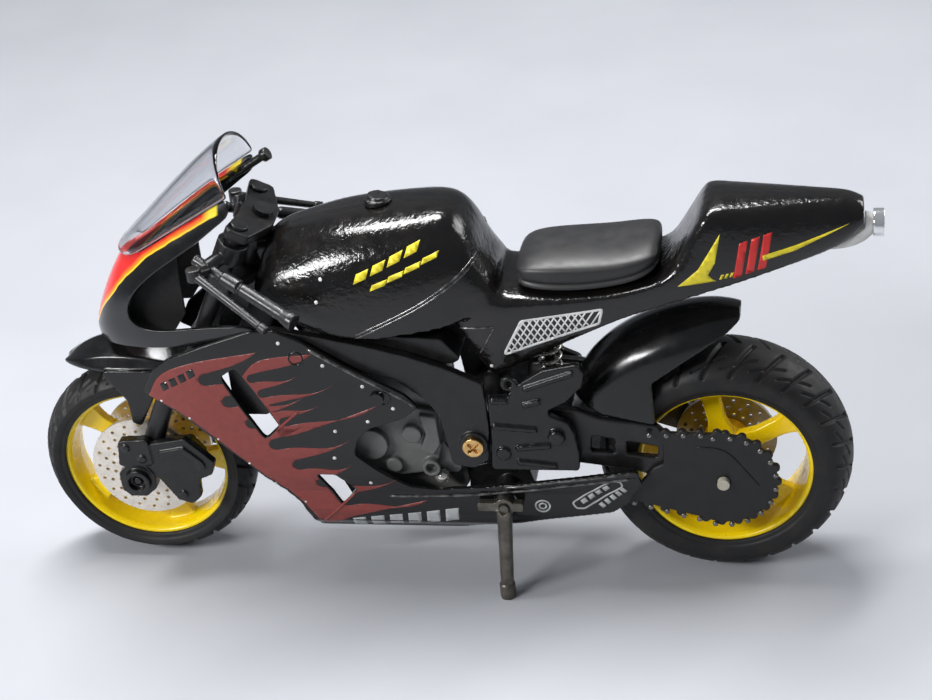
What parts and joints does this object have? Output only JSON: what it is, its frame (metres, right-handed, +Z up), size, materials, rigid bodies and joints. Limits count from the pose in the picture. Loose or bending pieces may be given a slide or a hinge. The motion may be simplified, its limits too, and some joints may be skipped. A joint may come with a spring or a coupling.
{
  "type": "toy racing motorcycle",
  "caption": "Free-rolling toy racing motorcycle with full fairing, clear screen, steering fork, sprung rear arm and folding side stand.",
  "frame": {"origin": "on the ground under the middle of the whole machine", "axes": "+X to the rear, +Y to the machine's right-hand side, +Z up"},
  "size_m": [0.187, 0.0568, 0.103],
  "materials": {
    "casting_black": "glossy cast black with a fine orange-peel surface",
    "frame_black": "satin moulded black",
    "panel_black": "gloss black panel with dark red flames",
    "nose_red": "gloss black nose with a red and yellow front edge",
    "seat_black": "matte moulded seat",
    "tyre_rubber": "dull rubber with a moulded tread",
    "rim_yellow": "glossy yellow",
    "disc_silver": "pearl silver, drilled",
    "disc_dark": "gunmetal, drilled",
    "engine_grey": "mid grey moulding",
    "brass_screw": "turned brass",
    "steel_pin": "bright pin",
    "screen_clear": "thin clear moulding",
    "lamp_clear": "milky clear moulding",
    "lamp_silver": "silvered lens ring"
  },
  "bodies": {
    "chassis": {"main_frame": "frame_black", "engine_block": "engine_grey", "air_box": "frame_black", "radiator": "frame_black", "screen_stay": "frame_black", "inner_panel_left": "panel_black", "inner_panel_right": "panel_black", "engine_cover_left": "engine_grey", "engine_cover_right": "engine_grey", "frame_plate_left": "frame_black", "frame_plate_right": "frame_black", "footrest_bracket_left": "frame_black", "footrest_bracket_right": "frame_black", "oil_cap": "steel_pin", "pivot_screw": "brass_screw", "pivot_nut": "brass_screw", "stand_bracket": "frame_black", "stand_pin": "steel_pin", "shock_spring": "steel_pin", "shock_rod": "frame_black", "tank_and_tail": "casting_black", "fuel_cap": "frame_black", "seat_pad": "seat_black", "tail_light_housing": "lamp_clear", "tail_light_lens": "lamp_silver", "upper_fairing": "nose_red", "windscreen": "screen_clear", "side_fairing_left": "panel_black", "side_fairing_right": "panel_black", "fairing_screws": "steel_pin"},
    "steering": {"steering_stem": "steel_pin", "top_yoke": "frame_black", "bottom_yoke": "frame_black", "fork_leg_left": "frame_black", "fork_leg_right": "frame_black", "caliper_left": "frame_black", "caliper_right": "frame_black", "handlebar_left": "frame_black", "handlebar_right": "frame_black", "lever_left": "frame_black", "lever_right": "frame_black", "front_fender": "casting_black", "front_axle": "steel_pin"},
    "front_wheel": {"front_tyre": "tyre_rubber", "front_rim": "rim_yellow", "front_disc_left": "disc_silver", "front_disc_right": "disc_silver"},
    "rear_fork": {"swingarm": "frame_black", "chain_plate": "frame_black", "rear_hugger": "casting_black", "rear_caliper": "frame_black", "rear_axle": "steel_pin"},
    "rear_wheel": {"rear_tyre": "tyre_rubber", "rear_rim": "rim_yellow", "rear_disc": "disc_dark"},
    "side_stand": {"stand_leg": "frame_black"}
  },
  "joints": [
    {"name": "steering_turn", "type": "hinge", "parent": "chassis", "child": "steering", "pos_m": [-0.03755, 0, 0.08], "axis": [0.4226, 0, 0.9063], "range_deg": [-14, 14]},
    {"name": "front_wheel_spin", "type": "hinge", "parent": "steering", "child": "front_wheel", "pos_m": [-0.06895, 0, 0.0245], "axis": [0, 1, 0], "continuous": true},
    {"name": "rear_arm_swing", "type": "hinge", "parent": "chassis", "child": "rear_fork", "pos_m": [0.00865, 0, 0.038], "axis": [0, -1, 0], "range_deg": [0, 4], "stiffness_Nm_per_rad": 0.6, "springref_deg": -11.46, "deforming": ["shock_spring"]},
    {"name": "rear_wheel_spin", "type": "hinge", "parent": "rear_fork", "child": "rear_wheel", "pos_m": [0.06105, 0, 0.0273], "axis": [0, 1, 0], "continuous": true},
    {"name": "stand_fold", "type": "hinge", "parent": "chassis", "child": "side_stand", "pos_m": [0.01425, 0, 0.0228], "axis": [0, -1, 0], "range_deg": [0, 84]}
  ]
}
